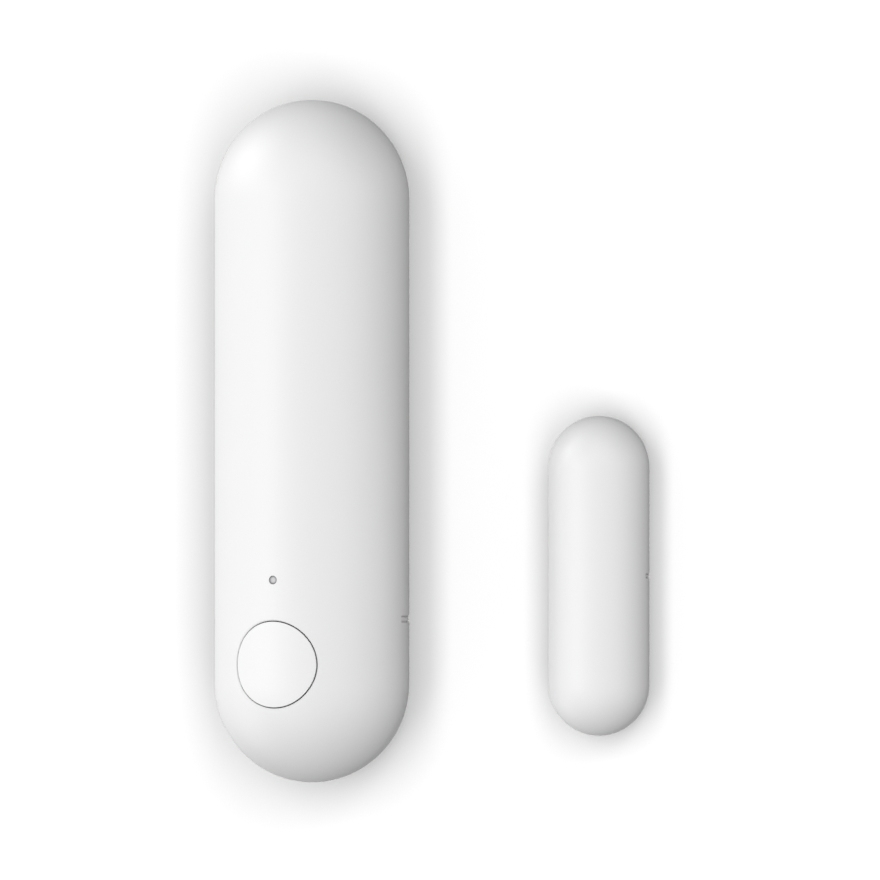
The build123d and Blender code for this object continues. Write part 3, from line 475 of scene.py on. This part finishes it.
# Circuit board
TRACK_PITCH = 0.9 * MM
TRACK_HALF = 0.17  # share of the pitch
SLANT_PITCH = 1.1 * MM
SLANT_HALF = 0.14  # share of the pitch
TRACK_REGION = 4 * MM
STRAIGHT_ABOVE = 0.47  # where the noise of the regions is higher, the tracks are straight
TRACK_TONE = 2.1
TRACK_SHARE = 0.55
TRACK_H = 0.02 * MM
TRACK_STRENGTH = 0.5
VIA_PITCH = 2.6 * MM
VIA_R = 0.11  # share of the pitch
VIA_METALLIC = 0.9
BOARD_BLOTCH = 6 * MM
BOARD_TONES = (0.85, 1.15)
BOARD_ROUGH = (0.22, 0.32)
BOARD_EDGE_R = 0.1 * MM
BOARD_EDGE_SHARE = 0.7


def stripes(tree, along, pitch, half_width):
    """1 on evenly spaced stripes, 0 between them."""
    lane = tree.math("FRACT", tree.math("DIVIDE", along, pitch))
    off_middle = tree.math("ABSOLUTE", tree.math("SUBTRACT", lane, 0.5))
    return tree.math("LESS_THAN", off_middle, half_width)


def copper_tracks(tree, place):
    """Straight tracks in some regions of the board, and slanting ones in the others."""
    x, y, _ = tree.add("ShaderNodeSeparateXYZ", Vector=place).outputs
    straight = stripes(tree, x, TRACK_PITCH, TRACK_HALF)
    slanting = stripes(tree, tree.math("ADD", y, x), SLANT_PITCH, SLANT_HALF)
    region = tree.math("GREATER_THAN", tree.noise(place, TRACK_REGION, detail=1.0), STRAIGHT_ABOVE)
    elsewhere = tree.math("SUBTRACT", 1.0, region)
    return tree.math("MAXIMUM", tree.times(straight, region), tree.times(slanting, elsewhere))


def solder_mask():
    """A circuit board: green mask over copper tracks, small bare vias, and a pale cut edge."""
    material, tree, shader, place = new_material("board_green")
    tracks = copper_tracks(tree, place)
    vias = tree.add("ShaderNodeTexVoronoi", Vector=place, Scale=1 / VIA_PITCH).outputs["Distance"]
    via = tree.math("LESS_THAN", vias, VIA_R)
    blotch = tree.noise(place, BOARD_BLOTCH)
    tone = tree.tones(blotch, BOARD_GREEN, BOARD_TONES)
    tone = tree.cover(tone, tracks, TRACK_SHARE, shade(BOARD_GREEN, TRACK_TONE))
    tone = tree.mix(via, tone, BOARD_COPPER)
    tone = tree.cover(tone, edge_mask(tree, BOARD_EDGE_R), BOARD_EDGE_SHARE, BOARD_EDGE)
    tree.feed(shader.inputs["Metallic"], tree.times(via, VIA_METALLIC))
    height = tree.math("SUBTRACT", tracks, via)
    rough = tree.spread(blotch, *BOARD_ROUGH)
    finish_surface(tree, shader, tone, rough, height, TRACK_H, TRACK_STRENGTH)
    return material


# Shrink film round the cell
BAND_SHARE = 0.28  # of the cell's length, at its positive end
WRINKLE = 0.9 * MM
WRINKLED_ALONG_Y = (1.0, 0.12, 1.0)
WRINKLE_TONE = 1.6
WRINKLE_SHARE = 0.35
WRINKLE_DEPTH = 0.01 * MM
WRINKLE_STRENGTH = 0.3
FILM_ROUGH = (0.18, 0.34)
FILM_EDGE = 0.2 * MM
FILM_WORN_SHARE = 0.6


def shrink_film():
    """Plain film with a paler band at the cell's positive end and fine stretch wrinkles."""
    material, tree, shader, place = new_material("cell_film")
    low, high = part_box("battery_sleeve")
    band_from = high.y - (high.y - low.y) * BAND_SHARE
    along = tree.add("ShaderNodeSeparateXYZ", Vector=place).outputs["Y"]
    in_band = tree.math("GREATER_THAN", along, band_from)
    wrinkle = tree.noise(tree.vector("MULTIPLY", place, WRINKLED_ALONG_Y), WRINKLE)
    tone = tree.mix(in_band, FILM_BLUE, FILM_BAND)
    tone = tree.cover(tone, wrinkle, WRINKLE_SHARE, shade(FILM_BLUE, WRINKLE_TONE))
    tone = tree.cover(tone, edge_mask(tree, FILM_EDGE), FILM_WORN_SHARE, FILM_WORN)
    rough = tree.spread(wrinkle, *FILM_ROUGH)
    finish_surface(tree, shader, tone, rough, wrinkle, WRINKLE_DEPTH, WRINKLE_STRENGTH)
    return material


def use(material, *nodes):
    for name in nodes:
        mesh = NODES[name].data
        mesh.materials.clear()
        mesh.materials.append(material)


def dress_outside():
    use(moulded("housing_white", HOUSING_WHITE, rough=0.34), "sensor_cover", "magnet_cover")
    use(moulded("base_white", BASE_WHITE, rough=0.42), "sensor_base", "magnet_base")
    use(moulded("button_white", BUTTON_WHITE, rough=0.32), "setup_button")
    use(light_guide(), "led_light_pipe")
    use(foam("foam_pad", FOAM_WHITE), "sensor_adhesive_pad", "magnet_adhesive_pad")


def dress_plastics():
    use(moulded("chassis_grey", CHASSIS_GREY, rough=0.45), "inner_chassis")
    black = moulded("switch_black", SWITCH_BLACK, rough=0.38)
    use(black, "tact_switch_body", "tamper_switch_body", "battery_insulator")
    use(moulded("chip_black", CHIP_BLACK, rough=0.5, grain=CHIP_GRAIN), "radio_chip", "sensor_chip")
    use(moulded("stem_white", STEM_WHITE, rough=0.3), "tact_switch_plunger", "tamper_plunger")
    use(moulded("ceramic_tan", CERAMIC_TAN, rough=0.35, grain=CERAMIC_GRAIN), "chip_capacitors")
    use(moulded("ceramic_white", CERAMIC_WHITE, rough=0.4, grain=CERAMIC_GRAIN), "radio_antenna")
    use(moulded("led_resin", LED_RESIN, rough=0.2), "status_led")
    use(reed_glass(), "reed_switch_glass")
    use(shrink_film(), "battery_sleeve")
    use(solder_mask(), "circuit_board")


def dress_metals():
    bright = metal("nickel", NICKEL, rough=0.22)
    use(bright, "tact_switch_frame", "tact_switch_terminals", "radio_shield_can", "clock_crystal")
    use(metal("screw_zinc", SCREW_ZINC, rough=0.26, grain=FINE_METAL_GRAIN), "chassis_screws")
    use(metal("reed_leads", REED_NICKEL, rough=0.3, grain=FINE_METAL_GRAIN), "reed_switch_blades")
    drawn = metal("spring_steel", SPRING_STEEL, rough=0.28, grain=WIRE_GRAIN)
    use(drawn, "battery_spring", "tamper_spring", "tact_switch_dome")
    strip = metal("contact_nickel", CONTACT_NICKEL, rough=0.25, brush=BRUSHED_ALONG_Y)
    use(strip, "battery_negative_contact")
    gold = metal("contact_gold", CONTACT_GOLD, rough=0.22, brush=BRUSHED_ALONG_Y, worn=GOLD_WORN)
    use(gold, "battery_positive_contact")
    steel = metal("cell_steel", CELL_STEEL, rough=0.24, brush=DRAWN_ALONG_Y)
    use(steel, "battery_can", "battery_positive_cap")
    use(metal("magnet_nickel", MAGNET_NICKEL, rough=0.16, grain=MAGNET_GRAIN), "bar_magnet")


# Small pieces that the CAD part leaves out


def add_ring(mesh, centre, radius):
    ring = []
    for side in range(SOLDER_SIDES):
        angle = 2 * math.pi * side / SOLDER_SIDES
        away = Vector((math.cos(angle), math.sin(angle), 0.0)) * radius
        ring.append(mesh.verts.new(centre + away))
    return ring


def add_cone(mesh, foot, direction):
    """A concave solder cone on the board round a lead that stands upright at its foot."""
    rings = []
    for step in range(SOLDER_STEPS + 1):
        share = step / SOLDER_STEPS
        radius = LEAD_R + (SOLDER_FOOT_R - LEAD_R) * (1 - share) ** 2
        centre = foot + Vector((0.0, 0.0, direction * SOLDER_H * share))
        rings.append(add_ring(mesh, centre, radius))
    for lower, upper in zip(rings, rings[1:]):
        for side in range(SOLDER_SIDES):
            after = (side + 1) % SOLDER_SIDES
            mesh.faces.new((lower[side], lower[after], upper[after], upper[side]))
    mesh.faces.new(rings[0])
    mesh.faces.new(rings[-1])


def build_solder_joints():
    """Solder round the reed switch's two leads, on both faces of the board."""
    board_low, board_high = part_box("circuit_board")
    low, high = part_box("reed_switch_blades")
    x = (low.x + high.x) / 2
    mesh = bmesh.new()
    for y in (low.y + LEAD_R, high.y - LEAD_R):
        add_cone(mesh, Vector((x, y, board_low.z)), -1)
        add_cone(mesh, Vector((x, y, board_high.z)), 1)
    bmesh.ops.recalc_face_normals(mesh, faces=mesh.faces)
    data = bpy.data.meshes.new("solder_joints")
    mesh.to_mesh(data)
    mesh.free()
    data.shade_smooth()
    joints = bpy.data.objects.new("solder_joints", data)
    bpy.context.scene.collection.objects.link(joints)
    data.materials.append(metal("solder", SOLDER_TIN, rough=0.3))
    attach(joints, "sensor")


def build_flexing(name, node, crown_up):
    """A copy of a spring in place of its CAD piece, which is hidden. The ends of its axis are worked
    out, but nothing uses them.
    """
    piece = bpy.data.objects.new(name, NODES[node].data.copy())
    bpy.context.scene.collection.objects.link(piece)
    low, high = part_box(node)
    x, y = (low.x + high.x) / 2, (low.y + high.y) / 2
    ends = [(x, y, low.z), (x, y, high.z)]
    if not crown_up:
        ends.reverse()
    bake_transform(piece)
    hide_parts(node)


bpy.context.scene.view_settings.view_transform = "Standard"

dress_outside()
dress_plastics()
dress_metals()
build_solder_joints()
build_flexing("tact_dome_flexing", "tact_switch_dome", crown_up=True)
build_flexing("tamper_spring_flexing", "tamper_spring", crown_up=False)
build_world()
build_floor_strips(build_floor())
build_camera()
